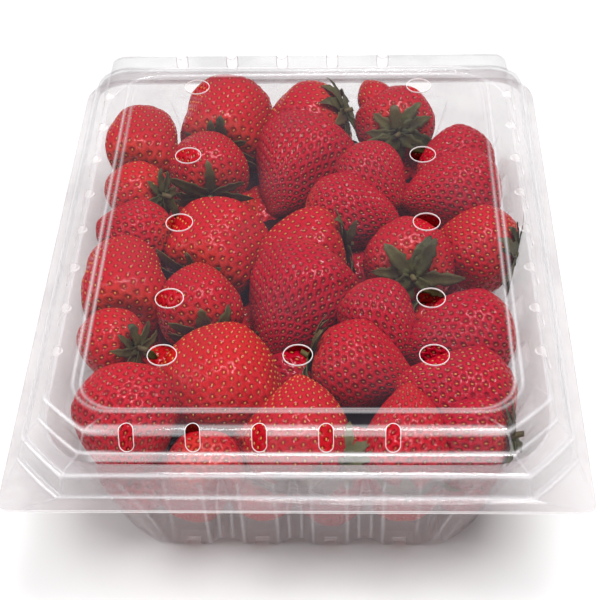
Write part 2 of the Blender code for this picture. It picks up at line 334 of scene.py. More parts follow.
# ---------------------------------------------------------------- outlines of the shells
class Outline:
    """A rounded rectangle at one height, given by how far each side lies inside the flange's edge."""

    def __init__(self, level, front, side, back, front_corner, back_corner):
        self.level = level * MM
        self.half_width = WIDTH / 2 - side * MM
        self.front = -LENGTH / 2 + front * MM
        self.back = LENGTH / 2 - back * MM
        self.front_corner = front_corner  # reach along X and along Y in millimetres, exponent
        self.back_corner = back_corner

    def moved_in(self, inward, level):
        """The same outline a little smaller all round, at another height, both in millimetres."""
        smaller = copy.copy(self)
        smaller.level = level * MM
        smaller.half_width -= inward * MM
        smaller.front += inward * MM
        smaller.back -= inward * MM
        for name in ("front_corner", "back_corner"):
            reach_x, reach_y, exponent = getattr(self, name)
            setattr(smaller, name, (reach_x - inward, reach_y - inward, exponent))
        return smaller


def corner_row(x, y, corner, x_way, y_way, from_x_side):
    """Points of one corner between its two straight sides, on a superellipse, with their lift."""
    reach_x, reach_y, exponent = corner
    row = []
    for step in range(1, CORNER_STEPS):
        angle = math.pi / 2 * step / CORNER_STEPS
        if not from_x_side:
            angle = math.pi / 2 - angle
        out_x = x_way * reach_x * MM * (1 - math.sin(angle) ** (2 / exponent))
        out_y = y_way * reach_y * MM * (1 - math.cos(angle) ** (2 / exponent))
        row.append((x - out_x, y - out_y, min(1.0, 1.4 * math.sin(2 * angle) ** 2)))
    return row


def side_row(start, end, middle, channels, depth, land):
    """Points along one side: (place, depth into the tub, lift), with lift 0 on a channel and 1 on a rib."""
    if not channels:
        return [(start, 0.0, 0.0), (end, 0.0, 0.0)]
    half_gap = (PITCH - CHANNEL_FACE) / 2
    first = middle - (channels - 1) / 2 * PITCH - CHANNEL_FACE / 2
    last = middle + (channels - 1) / 2 * PITCH + CHANNEL_FACE / 2

    def end_rib(outer, inner):
        width = abs(outer - inner)
        inward = min(depth, 0.35 * max(width - 2 * MM, 0))
        lift = min(0.5, width / (10 * MM))
        between = inner - outer
        return [
            (outer, 0.0, lift),
            (outer + 0.41 * between, inward, lift * 0.6),
            (outer + 0.59 * between, inward, lift * 0.4),
            (inner, 0.0, 0.0),
        ]

    row = end_rib(start, first)
    for rib in range(1, channels):
        centre = middle + (rib - channels / 2) * PITCH
        row += [
            (centre - half_gap, 0.0, 0.0),
            (centre - land, depth, 1.0),
            (centre + land, depth, 1.0),
            (centre + half_gap, 0.0, 0.0),
        ]
    return row + end_rib(end, last)[::-1]


def ring(outline, ribbed=False, depth=0.0, land=None, arch=0.0):
    """The outline as a closed row of (place, crease). Ribs stand depth inside it, arch above the channels."""
    channels = (FRONT_CHANNELS, SIDE_CHANNELS) if ribbed else (0, 0)
    if land is None:
        half_gap = (PITCH - CHANNEL_FACE) / 2
        land = min(max(half_gap - depth, RIB_LAND), half_gap - 0.5 * MM)
    width, front, back = outline.half_width, outline.front, outline.back
    front_x, front_y = (reach * MM for reach in outline.front_corner[:2])
    back_x, back_y = (reach * MM for reach in outline.back_corner[:2])
    across = side_row(-width + front_x, width - front_x, FRONT_MIDDLE, channels[0], depth, land)
    behind = side_row(-width + back_x, width - back_x, FRONT_MIDDLE, channels[0], depth, land)
    along = side_row(front + front_y, back - back_y, SIDE_MIDDLE, channels[1], depth, land)
    row = [(x, front + inward, lift) for x, inward, lift in across]
    row += corner_row(width, front, outline.front_corner, 1, -1, True)
    row += [(width - inward, y, lift) for y, inward, lift in along]
    row += corner_row(width, back, outline.back_corner, 1, 1, False)
    row += [(x, back - inward, lift) for x, inward, lift in reversed(behind)]
    row += corner_row(-width, back, outline.back_corner, -1, 1, True)
    row += [(-width + inward, y, lift) for y, inward, lift in reversed(along)]
    row += corner_row(-width, front, outline.front_corner, -1, -1, False)
    return [(Vector((x, y, outline.level + arch * lift)), 0.0) for x, y, lift in row]


def eased(row, reach, closed):
    """The row with every bend replaced by three points on a small curve, its middle marked as a crease."""
    found = []
    for number, (point, crease) in enumerate(row):
        if not closed and number in (0, len(row) - 1):
            found.append((point, crease))
            continue
        back = row[number - 1][0] - point
        onward = row[(number + 1) % len(row)][0] - point
        if min(back.length, onward.length) < 0.02 * MM:
            found += [(point, crease)] * 3
            continue
        fold = shade((-back).angle(onward), 0.12, 1.0)
        start = point + back * min(reach / back.length, 0.45)
        end = point + onward * min(reach / onward.length, 0.45)
        middle = (start + end) / 4 + point / 2
        found += [(start, crease), (middle, max(crease, fold)), (end, crease)]
    return found


def sheet(rings, along, across):
    """A sheet from the first ring to a face across the last one, with every crease rounded."""
    rows = [eased(row, along, True) for row in rings]
    columns = [eased(column, across, False) for column in zip(*rows)]
    rows = list(zip(*columns))
    bm = bmesh.new()
    crease = bm.verts.layers.float.new("crease")
    station = bm.verts.layers.int.new("station")
    loop = []
    for number, (place, fold) in enumerate(rows[0]):
        loop.append(bm.verts.new(place))
        loop[-1][crease] = fold
        loop[-1][station] = number
    edges = [bm.edges.new((loop[number - 1], loop[number])) for number in range(len(loop))]
    for row in rows[1:]:
        grown = bmesh.ops.extrude_edge_only(bm, edges=edges)["geom"]
        edges = [part for part in grown if isinstance(part, bmesh.types.BMEdge)]
        for vert in grown:
            if isinstance(vert, bmesh.types.BMVert):
                vert.co, vert[crease] = row[vert[station]]
    bmesh.ops.contextual_create(bm, geom=edges)
    bmesh.ops.remove_doubles(bm, verts=bm.verts, dist=0.01 * MM)
    bmesh.ops.recalc_face_normals(bm, faces=bm.faces)
    lowest = min(bm.faces, key=lambda face: face.calc_center_median().z)
    if lowest.normal.z < 0:
        bmesh.ops.reverse_faces(bm, faces=bm.faces)
    bm.verts.layers.int.remove(station)
    return bm


def shell(name, bm, outwards, cutters, finish, cut_finish):
    """The sheet with its wall, and with the cutters' openings; every cut face gets the cut finish."""
    made = piece(name, bm, [finish, cut_finish])
    wall = made.modifiers.new("wall", "SOLIDIFY")
    wall.thickness = WALL
    wall.offset = 1.0 if outwards else -1.0
    wall.use_even_offset = True
    wall.material_offset_rim = 1
    for cutter in cutters:
        opening = made.modifiers.new(cutter.name, "BOOLEAN")
        opening.operation = "DIFFERENCE"
        opening.object = cutter
        opening.solver = "MANIFOLD"
        opening.material_mode = "TRANSFER"
    bpy.context.view_layer.update()
    evaluated = made.evaluated_get(bpy.context.evaluated_depsgraph_get())
    mesh = bpy.data.meshes.new_from_object(evaluated)
    made.modifiers.clear()
    made.data = mesh
    for cutter in cutters:
        bpy.data.objects.remove(cutter)
    mesh.shade_smooth()
    mesh.set_sharp_from_angle(angle=math.radians(50))
    return made


# ---------------------------------------------------------------- tub
def wall_outline(level):
    """The tub's wall, along its channels, at one height in millimetres."""
    share = (RIM_LEVEL - level) / (RIM_LEVEL - FLOOR_LEVEL)
    corner = (20 + 0.4 * share, 24 + 2 * share, ROUND)
    return Outline(level, 13.5 + 14.6 * share, 12.0 + 16.8 * share, 7.0 + 14.6 * share, corner, corner)


def rib_depth(level):
    """How far a rib stands into the tub, at a height in millimetres."""
    if level > RIB_TIP:
        return rib_depth(RIB_TIP) * max((RIB_END - level) / (RIB_END - RIB_TIP), 0.0)
    return RIB_SLOPE * max(level - FLOOR_LEVEL, 0.0) * MM


def foot_notches(finish):
    """Round-topped notches through the wall's lower edge, one in the middle of each foot."""
    foot = wall_outline(FLOOR_LEVEL)
    places = []
    for number in range(FRONT_CHANNELS):
        x = FRONT_MIDDLE + (number - (FRONT_CHANNELS - 1) / 2) * PITCH
        places += [(x, foot.front, -math.pi / 2), (x, foot.back, math.pi / 2)]
    for number in range(SIDE_CHANNELS):
        y = SIDE_MIDDLE + (number - (SIDE_CHANNELS - 1) / 2) * PITCH
        places += [(foot.half_width, y, 0.0), (-foot.half_width, y, math.pi)]
    bm = bmesh.new()
    for x, y, heading in places:
        notch = bmesh.ops.create_cube(bm, size=1.0)["verts"]
        size = (NOTCH_DEPTH + 2 * MM, NOTCH_WIDTH, FLOOR_LEVEL * MM + 1 * MM)
        bmesh.ops.scale(bm, verts=notch, vec=size)
        middle = Vector((1 * MM - NOTCH_DEPTH / 2, 0, size[2] / 2 - 1 * MM))
        bmesh.ops.translate(bm, verts=notch, vec=middle)
        top = [
            edge
            for edge in {edge for vert in notch for edge in vert.link_edges}
            if all(vert.co.z > 0 for vert in edge.verts) and abs(edge.verts[0].co.y - edge.verts[1].co.y) < MM
        ]
        bevelled = bmesh.ops.bevel(
            bm, geom=top, affect="EDGES", offset=1.6 * MM, segments=4, profile=0.5, material=-1
        )
        notch = list({vert for vert in notch if vert.is_valid} | set(bevelled["verts"]))
        turn = Matrix.Translation((x, y, 0)) @ Matrix.Rotation(heading, 4, "Z")
        bmesh.ops.transform(bm, matrix=turn, verts=notch)
    return piece("foot_notches", bm, [finish])


def tub(finish, cut_finish):
    rings = [
        ring(Outline(PARTING, 0, 0, 0, (3.5, 3.5, ROUND), (14, 14, ROUND)), True),
        ring(Outline(PARTING, 6.2, 4.5, 2.1, (16, 17, CHAMFER), (12, 12, ROUND)), True),
        ring(Outline(RIM_LEVEL, 8.8, 6.5, 3.3, (15, 16.5, CHAMFER), (11, 11, ROUND)), True),
    ]
    rings += [ring(wall_outline(level), True) for level in (RIM_LEVEL, RIB_END)]
    rings += [ring(wall_outline(level), True, depth=rib_depth(level)) for level in (RIB_TIP, 25)]
    foot = wall_outline(FLOOR_LEVEL)
    for inward, level in ((0, WALL / MM), (FOOT_LENGTH, WALL / MM)):
        rings.append(ring(foot.moved_in(inward, level), True, land=ARCH_LAND, arch=FOOT_RISE))
    rings.append(ring(foot.moved_in(FOOT_RUN_OUT, FLOOR_LEVEL), True, land=ARCH_LAND))
    rings.append(ring(foot.moved_in(FOOT_RUN_OUT + 4, FLOOR_LEVEL), True, land=ARCH_LAND))
    bm = sheet(rings, 0.9 * MM, 1.4 * MM)
    return shell("tub_shell", bm, False, [foot_notches(cut_finish)], finish, cut_finish)


# ---------------------------------------------------------------- lid
SHOULDER = 68.3  # height of the dome's shoulder
SHOULDER_CORNERS = ((14.9, 14.4, CHAMFER), (5.0, 5.0, ROUND))


def slots(whole, places):
    """Bars with round ends, over the shoulder at each place and turned to its heading."""
    tilt = Matrix.Rotation(math.radians(45), 4, "Y")
    for x, y, heading in places:
        bar = bmesh.ops.create_cone(
            whole, cap_ends=True, segments=24, radius1=SLOT_WIDTH / 2, radius2=SLOT_WIDTH / 2, depth=14 * MM
        )["verts"]
        bmesh.ops.rotate(whole, verts=bar, matrix=Matrix.Rotation(math.pi / 24, 3, "Z"))
        for vert in bar:
            vert.co.x += math.copysign((SLOT_LENGTH - SLOT_WIDTH) / 2, vert.co.x) + SLOT_DROP
        turn = Matrix.Translation((x, y, SHOULDER * MM)) @ Matrix.Rotation(heading, 4, "Z") @ tilt
        bmesh.ops.transform(whole, matrix=turn, verts=bar)


def vents(cut_finish, faint_finish):
    """Cutters for the openings: slots over the shoulder on all four sides, and holes through the panel."""
    shoulder = Outline(SHOULDER, 20.0, 12.3, 4.8, *SHOULDER_CORNERS)
    beside = bmesh.new()
    places = []
    for number in range(SIDE_SLOTS):
        y = FIRST_SIDE_SLOT + number * SLOT_PITCH
        places += [(shoulder.half_width, y, 0.0), (-shoulder.half_width, y, math.pi)]
    slots(beside, places)
    whole = bmesh.new()
    places = []
    for number in range(FRONT_SLOTS):
        x = FIRST_FRONT_SLOT + number * SLOT_PITCH
        places += [(x, shoulder.front, -math.pi / 2), (x, shoulder.back, math.pi / 2)]
    slots(whole, places)
    holes = [(side * HOLE_COLUMN, y) for y in HOLE_ROWS for side in (-1, 1)]
    for x, y in holes + [(0.0, HOLE_ROWS[0])]:
        bmesh.ops.create_cone(
            whole,
            cap_ends=True,
            segments=40,
            radius1=HOLE_DIAMETER / 2,
            radius2=HOLE_DIAMETER / 2,
            depth=8 * MM,
            matrix=Matrix.Translation((x, y, shoulder.level)),
        )
    return [piece("vents", whole, [cut_finish]), piece("side_vents", beside, [faint_finish])]


def lid(finish, cut_finish, faint_finish):
    base = PARTING + 0.3
    rim = RIM_LEVEL + 0.3
    panel = (15, 15, ROUND)
    inner = (13, 13, ROUND)
    outlines = (
        Outline(base, 0, 0, 0, (3.5, 3.5, ROUND), (14, 14, ROUND)),
        Outline(base, 5.3, 3.6, 1.2, (16, 17, CHAMFER), (12, 12, ROUND)),
        Outline(rim, 7.9, 5.6, 2.4, (15, 16.5, CHAMFER), (11, 11, ROUND)),
        Outline(rim, 17.5, 10.3, 3.6, (15, 15, CHAMFER), (7, 7, ROUND)),
        Outline(SHOULDER, 20.0, 12.3, 4.8, *SHOULDER_CORNERS),
        Outline(SHOULDER, 28.4, 20.9, 14.3, panel, panel),
        Outline(SHOULDER - PANEL_DEPTH, 30.6, 23.1, 17.9, inner, inner),
        Outline(SHOULDER - PANEL_DEPTH, 33.6, 26.1, 20.9, inner, inner),
    )
    bm = sheet([ring(outline) for outline in outlines], 1.0 * MM, 1.6 * MM)
    return shell("lid_shell", bm, True, vents(cut_finish, faint_finish), finish, cut_finish)


def vent_rims(lid_shell, finish):
    """A thin lip all round every opening, grown from the cut faces of the lid and painted near white as a painted
    highlight.
    """
    bm = bmesh.new()
    bm.from_mesh(lid_shell.data)
    inner = [
        face
        for face in bm.faces
        if face.material_index == 1 and face.calc_center_median().z > (RIM_LEVEL + 0.5) * MM
    ]
    bmesh.ops.delete(bm, geom=list(set(bm.faces) - set(inner)), context="FACES")
    bmesh.ops.recalc_face_normals(bm, faces=bm.faces)
    bmesh.ops.solidify(bm, geom=bm.faces[:], thickness=0.2 * MM)
    for face in bm.faces:
        face.material_index = 0
    return piece("vent_rims", bm, [finish])


def fold(finish):
    """The strip of plastic round the fold behind the flange, made as a thin straight round bar."""
    bm = bmesh.new()
    half = WIDTH / 2 - 16 * MM
    bar = bmesh.ops.create_cone(
        bm, cap_ends=True, segments=16, radius1=0.45 * MM, radius2=0.45 * MM, depth=2 * half
    )["verts"]
    bmesh.ops.rotate(bm, verts=bar, matrix=Matrix.Rotation(math.pi / 2, 3, "Y"))
    bmesh.ops.translate(bm, verts=bar, vec=(0, TUB_HIGH.y + 0.3 * MM, PARTING * MM + 0.1 * MM))
    return piece("fold_strip", bm, [finish])


# ---------------------------------------------------------------- strawberries
class Berry:
    """One strawberry: where its middle is, where its tip points, and how it has grown."""

    def __init__(self, place, width, length, heading, pitch, number, **grown):
        self.place = Vector(place)
        self.width = width
        self.length = length
        self.number = number
        self.taper = grown.get("taper", 0.38)  # how much narrower it gets towards the tip
        self.blunt = grown.get("blunt", 0.0)
        self.flat = grown.get("flat", 1.0)
        self.roll = grown.get("roll", 0.0)
        self.ripe = grown.get("ripe", 0.6)
        self.gold = grown.get("gold", 0.6)
        self.pits = grown.get("pits", 0.6)
        self.cap = grown.get("cap", False)
        self.spacing = grown.get("spacing", 3.15 * MM)
        tip = Vector((0, 0, -1))
        aim = Vector(
            (
                math.cos(math.radians(heading)) * math.cos(math.radians(pitch)),
                math.sin(math.radians(heading)) * math.cos(math.radians(pitch)),
                math.sin(math.radians(pitch)),
            )
        )
        turn = tip.rotation_difference(aim).to_matrix() @ Matrix.Rotation(math.radians(self.roll), 3, "Z")
        self.matrix = Matrix.Translation(self.place) @ turn.to_4x4()
        self.inverse = self.matrix.inverted()

    def surface(self, direction):
        """The point of the skin in this direction from the middle, in the berry's own frame, stem end up."""
        x, y, z = direction
        swell = (1 + self.taper * z * (1 - 0.25 * z)) / (1 + 0.14 * self.taper)
        square = 2 + 1.7 * self.blunt
        swell *= (math.hypot(x, y) ** square + abs(z) ** square) ** (-1 / square)
        along = z * (math.hypot(x, y) ** square + abs(z) ** square) ** (-1 / square)
        dent = 0.07 * math.exp(-((1 - z) / 0.09))
        spot = Vector(direction) * 1.15 + Vector((self.number * 3.7, self.number * 1.9, 0))
        lump = 1 + 0.10 * noise.noise(spot) + 0.05 * noise.noise(spot * 2.3)
        radius = self.width / 2 * swell * lump
        return Vector(
            (
                x * radius * self.flat,
                y * radius / self.flat,
                (along - dent) * self.length / 2 * (1 + 0.05 * noise.noise(spot * 1.4)),
            )
        )

    def touches(self, other):
        apart = (self.place - other.place).length
        return apart < (max(self.width, self.length) + max(other.width, other.length)) / 2 + 3 * MM

    def holds(self, point, margin=0.0):
        """Whether a point lies inside this berry, roughly."""
        local = self.inverse @ point
        along = local.z / (self.length / 2 - margin)
        if abs(along) >= 1:
            return False
        reach = self.width / 2 * (1 + self.taper * along) * math.sqrt(1 - along * along) - margin
        return (local.x / self.flat) ** 2 + (local.y * self.flat) ** 2 < reach * reach


def soft_limit(value, limit):
    """The value, eased so that it stays under the limit."""
    return value - SOFTNESS * math.log1p(math.exp(min((value - limit) / SOFTNESS, 60.0)))


def within_corner(x, y, side, end, corner):
    """A place beside a corner of the wall, brought inside it; x and y count outwards."""
    reach_x, reach_y, exponent = corner
    share_x = (x - side) / (reach_x * MM) + 1
    share_y = (y - end) / (reach_y * MM) + 1
    if min(share_x, share_y) <= 0:
        return x, y
    out = max((share_x**exponent + share_y**exponent) ** (1 / exponent), 1.0)
    return side + (share_x / out - 1) * reach_x * MM, end + (share_y / out - 1) * reach_y * MM


def kept_inside(point):
    """A point of a berry, pressed back where the tub's ribbed wall, its floor or the lid is in the way."""
    level = point.z / MM
    if abs(point.x) < 58 * MM and -83 * MM < point.y < 88 * MM and 9 < level < 62:
        return point
    wall = wall_outline(min(max(level, FLOOR_LEVEL), RIM_LEVEL))
    depth = rib_depth(level)
    half_gap = (PITCH - CHANNEL_FACE) / 2

    def ribbed(along, middle, channels):
        """How far the wall stands in, this far along a side."""
        number = (along - middle) / PITCH + channels / 2
        off = abs(number - round(number)) * PITCH
        return max(min(depth, half_gap - off), 0.0) + PRESS

    side = wall.half_width - ribbed(point.y, SIDE_MIDDLE, SIDE_CHANNELS)
    ends = ribbed(point.x, FRONT_MIDDLE, FRONT_CHANNELS)
    back = wall.back - ends
    if level > RIM_LEVEL:
        ends = PRESS + 4.0 * MM + 0.31 * (level - RIM_LEVEL) * MM  # under the lid's front slope
        corner = SHOULDER_CORNERS[0]
    else:
        corner = wall.front_corner
    front = -wall.front - ends
    x = soft_limit(abs(point.x), side)
    if point.y < 0:
        x, y = within_corner(x, soft_limit(-point.y, front), side, front, corner)
    else:
        x, y = within_corner(x, soft_limit(point.y, back), side, back, wall.back_corner)
    z = -soft_limit(-soft_limit(point.z, LID_INSIDE), -FLOOR_LEVEL * MM - PRESS)
    return Vector((math.copysign(x, point.x), math.copysign(y, point.y), z))


def spiral(count, generator):
    """Evenly spread directions, a little uneven as seeds are, from the stem end to the tip."""
    golden = math.pi * (3 - math.sqrt(5))
    spread = 0.35 / math.sqrt(count)
    for number in range(count):
        z = 1 - (2 * number + 1) / count
        across = math.sqrt(1 - z * z)
        turn = golden * number
        uneven = Vector([generator.uniform(-spread, spread) for _ in range(3)])
        yield (Vector((across * math.cos(turn), across * math.sin(turn), z)) + uneven).normalized()


def skin(berry, generator):
    """The pitted skin of one berry in its own frame, and its seats: (middle, normal) of every pit."""
    area = math.pi * berry.width * berry.length * 0.86
    count = max(60, round(area / (berry.spacing * berry.spacing * 0.9)))
    bm = bmesh.new()
    for direction in spiral(count, generator):
        bm.verts.new(direction)
    bmesh.ops.convex_hull(bm, input=bm.verts, use_existing_faces=False)
    for vert in bm.verts:
        vert.co = berry.surface(vert.co)
    bmesh.ops.recalc_face_normals(bm, faces=bm.faces)
    hull = bmesh.ops.bevel(
        bm,
        geom=bm.verts[:],
        affect="VERTICES",
        offset=33 + 9 * berry.pits,
        offset_type="PERCENT",
        segments=1,
        profile=0.5,
        material=-1,
        clamp_overlap=True,
    )
    pits = hull["faces"]
    thickness = berry.spacing * 0.09
    depth = berry.spacing * (0.07 + 0.10 * berry.pits)
    bmesh.ops.inset_individual(bm, faces=pits, thickness=thickness, depth=-depth)
    bm.normal_update()
    pit = bm.verts.layers.float.new("pit")
    shoulder = bm.verts.layers.float.new("shoulder")
    ripe = bm.verts.layers.float.new("ripe")
    seats = []
    for face in pits:
        seats.append((face.calc_center_median(), face.normal.copy()))
        for vert in face.verts:
            vert[pit] = 1.0
    for vert in bm.verts:
        along = vert.co.z / berry.length + 0.5
        vert[shoulder] = shade(along, 0.80, 1.02)
        vert[ripe] = berry.ripe
    return bm, seats


def cap(berry, generator):
    """The leaf cap in the berry's own frame: pointed sepals that lie on its shoulder, round a short stem."""
    bm = bmesh.new()
    dry = bm.verts.layers.float.new("dry")
    count = generator.randint(8, 10)
    for number in range(count):
        heading = (number + generator.uniform(-0.3, 0.3)) * 2 * math.pi / count
        reach = generator.uniform(0.55, 0.85)  # angle from the stem to the sepal's point
        broad = berry.width * generator.uniform(0.09, 0.13)
        lean = generator.uniform(-0.35, 0.35)
        curl = generator.uniform(0.5, 3.0) * MM + (number % 3 == 0) * generator.uniform(2, 6) * MM
        lift = 0.5 * MM + (number % 2) * 0.5 * MM
        leaf = bmesh.ops.create_grid(bm, x_segments=4, y_segments=8, size=0.5)["verts"]
        shade_of_leaf = generator.random()
        for vert in leaf:
            across = vert.co.x * 2
            along = vert.co.y + 0.5
            half = broad * (0.75 + 0.5 * along) * (1 - along) ** 0.75 + 0.1 * MM
            half *= 1 + 0.25 * math.sin(along * 21 + number) * abs(across)
            down = 0.06 + reach * along
            turn = heading + lean * along + across * half / (berry.width / 2 * math.sin(down) + 1.5 * MM)
            way = Vector((math.sin(down) * math.cos(turn), math.sin(down) * math.sin(turn), math.cos(down)))
            raised = lift + curl * along * along + 0.25 * abs(across) * half + 0.3 * MM
            vert.co = berry.surface(way) + way * raised
            vert[dry] = 0.7 * along * shade_of_leaf
    bmesh.ops.recalc_face_normals(bm, faces=bm.faces)
    bmesh.ops.solidify(bm, geom=bm.faces[:], thickness=0.25 * MM)
    stem = bmesh.ops.create_cone(
        bm, cap_ends=True, segments=8, radius1=1.3 * MM, radius2=1.0 * MM, depth=6 * MM
    )["verts"]
    lean = generator.uniform(-0.4, 0.4)
    top = berry.surface((0, 0, 1)).z
    for vert in stem:
        vert.co.x += lean * vert.co.z
        vert.co.z += top + 2 * MM
        vert[dry] = 0.5
    return bm


def seed_shape(bm, berry, seat, normal, layer, generator):
    """One seed lying in its pit, pointed towards the tip."""
    down = Vector((0, 0, -1))
    along = (down - normal * down.dot(normal)).normalized()
    across = normal.cross(along)
    size = berry.spacing / 3.0
    turn = Matrix((along * 0.62 * size, across * 0.35 * size, normal * 0.30 * size)).transposed().to_4x4()
    turn.translation = seat + normal * 0.16 * size
    drop = bmesh.ops.create_icosphere(bm, subdivisions=1, radius=1.0, matrix=turn)["verts"]
    shine = min(max(berry.gold + generator.uniform(-0.25, 0.25), 0.0), 1.0)
    for vert in drop:
        vert[layer] = shine


def seeds_of(berry, seats, berries, generator):
    """The seeds of one berry, apart from those pressed against another berry."""
    bm = bmesh.new()
    layer = bm.verts.layers.float.new("gold")
    near = [other for other in berries if other is not berry and other.touches(berry)]
    for seat, normal in seats:
        spot = berry.matrix @ seat
        at_wall = abs(spot.x) > 58 * MM or spot.y < -80 * MM or spot.y > 86 * MM
        buried = 14 * MM < spot.z < 34 * MM and not at_wall
        if not buried and not any(other.holds(spot, 0.5 * MM) for other in near):
            seed_shape(bm, berry, seat, normal, layer, generator)
    return bm


def placed(rows, first_number):
    """The strawberries of a given table."""
    berries = []
    for number, (x, y, z, width, long, heading, pitch, grown) in enumerate(rows):
        place = (x * MM, y * MM, z * MM)
        size = (width * MM, width * long * MM)
        berries.append(Berry(place, *size, heading, pitch, number + first_number, **grown))
    return berries


def row_of_berries(generator, first_number, columns, rows, middle, pitch, level, widths):
    """Strawberries in uneven rows, each grown and turned its own way."""
    berries = []
    for row in range(rows):
        for column in range(columns):
            x = middle[0] + (column - (columns - 1) / 2) * pitch[0] + generator.uniform(-2, 2)
            y = middle[1] + (row - (rows - 1) / 2) * pitch[1] + generator.uniform(-3, 3) + (column % 2) * 4
            z = level + generator.uniform(-1, 3)
            width = generator.uniform(*widths) * MM
            long = width * generator.uniform(1.0, 1.2)
            grown = {
                "taper": generator.uniform(0.2, 0.42),
                "ripe": generator.uniform(0.4, 0.9),
                "gold": generator.uniform(0.3, 0.8),
                "pits": generator.uniform(0.3, 0.8),
                "cap": generator.random() < 0.4,
                "spacing": 3.6 * MM,
            }
            heading = generator.uniform(0, 360)
            lean = generator.uniform(-35, 35)
            number = first_number + row * columns + column
            berries.append(Berry((x * MM, y * MM, z * MM), width, long, heading, lean, number, **grown))
    return berries


def hidden_layers():
    """The strawberries on the floor of the tub, and those between them and the top layer."""
    generator = random.Random(5)
    return (
        placed(LOW_FRONT, 150) + row_of_berries(generator, 100, 4, 5, (0, 19), (34, 32), 21, (31, 35)),
        placed(MIDDLE_FRONT, 250) + row_of_berries(generator, 200, 3, 5, (0, 24), (36, 32), 25, (27, 31)),
    )


def core(finish):
    """A mass inside the heap that stands for its hidden fruit, nearly black as painted shade behind the gaps
    between the berries.
    """
    bm = bmesh.new()
    bmesh.ops.create_cube(bm, size=1.0)
    bmesh.ops.subdivide_edges(bm, edges=bm.edges, cuts=15, use_grid_fill=True)
    for _ in range(6):
        bmesh.ops.smooth_vert(bm, verts=bm.verts, factor=0.5, use_axis_x=True, use_axis_y=True, use_axis_z=True)
    low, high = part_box("berries")
    middle = (low + high) / 2
    for vert in bm.verts:
        lump = 1 + 0.12 * noise.noise(vert.co * 7)
        vert.co = Vector((vert.co.x * 0.68 * (high.x - low.x), vert.co.y * 0.72 * (high.y - low.y), vert.co.z * 16 * MM))
        vert.co = vert.co * lump + Vector((middle.x, middle.y, 25 * MM))
    return piece("painted_shade_core", bm, [finish])


# x, y, z and width in millimetres, length over width, where the tip points (heading, pitch), growth
STAR = {"taper": 0.25, "cap": True, "ripe": 0.75, "gold": 0.35, "pits": 0.5}
GOLDEN = {"ripe": 0.5, "gold": 0.9, "pits": 0.35}
CRIMSON = {"ripe": 0.9, "gold": 0.3, "pits": 0.9}
TOP_LAYER = (
    (-69, 76, 50, 32, 1.05, 84, 5, {**GOLDEN, "blunt": 1.8, "taper": 0.22}),
    (-35, 94, 48, 35, 0.92, 82, 5, {**GOLDEN, "blunt": 2.0, "taper": -0.05, "cap": True}),
    (-3, 92, 46, 36, 1.12, 184, -26, {**GOLDEN, "cap": True, "ripe": 0.8, "blunt": 0.4}),
    (28, 103, 55, 17, 1.1, 120, 20, {**GOLDEN, "ripe": 0.5}),
    (37, 94, 48, 34, 1.05, 92, -22, STAR),
    (59, 63, 49, 30, 1.2, 215, -5, CRIMSON),
    (-68, 42, 53, 26, 1.1, 150, -15, {**STAR, "ripe": 0.3, "gold": 0.7}),
    (-41, 66, 48, 33, 1.15, 97, 5, {"taper": 0.45, "cap": True, "ripe": 0.65, "gold": 0.5, "pits": 0.4}),
    (-3, 69, 43, 43, 1.12, 240, -19, {**CRIMSON, "taper": 0.42}),
    (27, 52, 51, 28, 1.15, 310, -14, {**CRIMSON, "taper": 0.3}),
    (58, 47, 48, 34, 1.25, 190, -5, {**CRIMSON, "taper": 0.4}),
    (-67, 18, 50, 29, 1.15, 170, 0, {**CRIMSON, "ripe": 0.7}),
    (-34, 13, 47, 36, 0.92, 72, 5, {**GOLDEN, "blunt": 1.3, "taper": -0.05, "cap": True}),
    (18, 33, 48, 31, 1.25, 350, -4, {**CRIMSON, "taper": 0.3}),
    (40, 7, 47, 36, 1.05, 92, -22, STAR),
    (65, 12, 48, 33, 1.12, 155, -14, {**GOLDEN, "cap": True, "pits": 0.7, "ripe": 0.55}),
    (-67, -10, 50, 33, 1.1, 95, 5, {**GOLDEN, "blunt": 1.3, "taper": 0.22}),
    (-38, -18, 49, 32, 1.15, 97, 5, {"taper": 0.45, "cap": True, "ripe": 0.65, "gold": 0.5, "pits": 0.4}),
    (-2, 10, 47, 33, 1.1, 195, -5, {**GOLDEN, "cap": True, "ripe": 0.7, "blunt": 0.4}),
    (-2, -15, 44, 42, 1.12, 240, -19, {**CRIMSON, "taper": 0.42}),
    (29, -31, 50, 29, 1.15, 310, -14, {**CRIMSON, "taper": 0.3}),
    (56, -37, 47, 36, 1.2, 190, -5, {**CRIMSON, "taper": 0.4}),
    (-68, -44, 53, 25, 1.1, 150, -15, {**STAR, "ripe": 0.4, "gold": 0.6}),
    (-28, -53, 42, 46, 0.95, 80, 30, {**GOLDEN, "ripe": 0.2, "taper": 0.15}),
    (22, -53, 48, 34, 1.1, 345, -5, {**CRIMSON, "cap": True, "ripe": 0.7}),
    (-59, -76, 47, 37, 1.1, 275, -20, {**CRIMSON, "ripe": 0.6, "taper": 0.2}),
    (1, -80, 45, 38, 1.05, 90, 32, {**GOLDEN, "taper": 0.35, "cap": True}),
    (54, -66, 47, 37, 1.2, 170, 5, {**CRIMSON, "gold": 0.7, "taper": 0.3}),
    (37, -84, 47, 34, 1.1, 90, 40, {**CRIMSON, "ripe": 0.6, "taper": 0.45, "cap": True}),
    (57, -85, 49, 27, 1.1, 170, -12, {**CRIMSON, "gold": 0.7, "cap": True}),
)
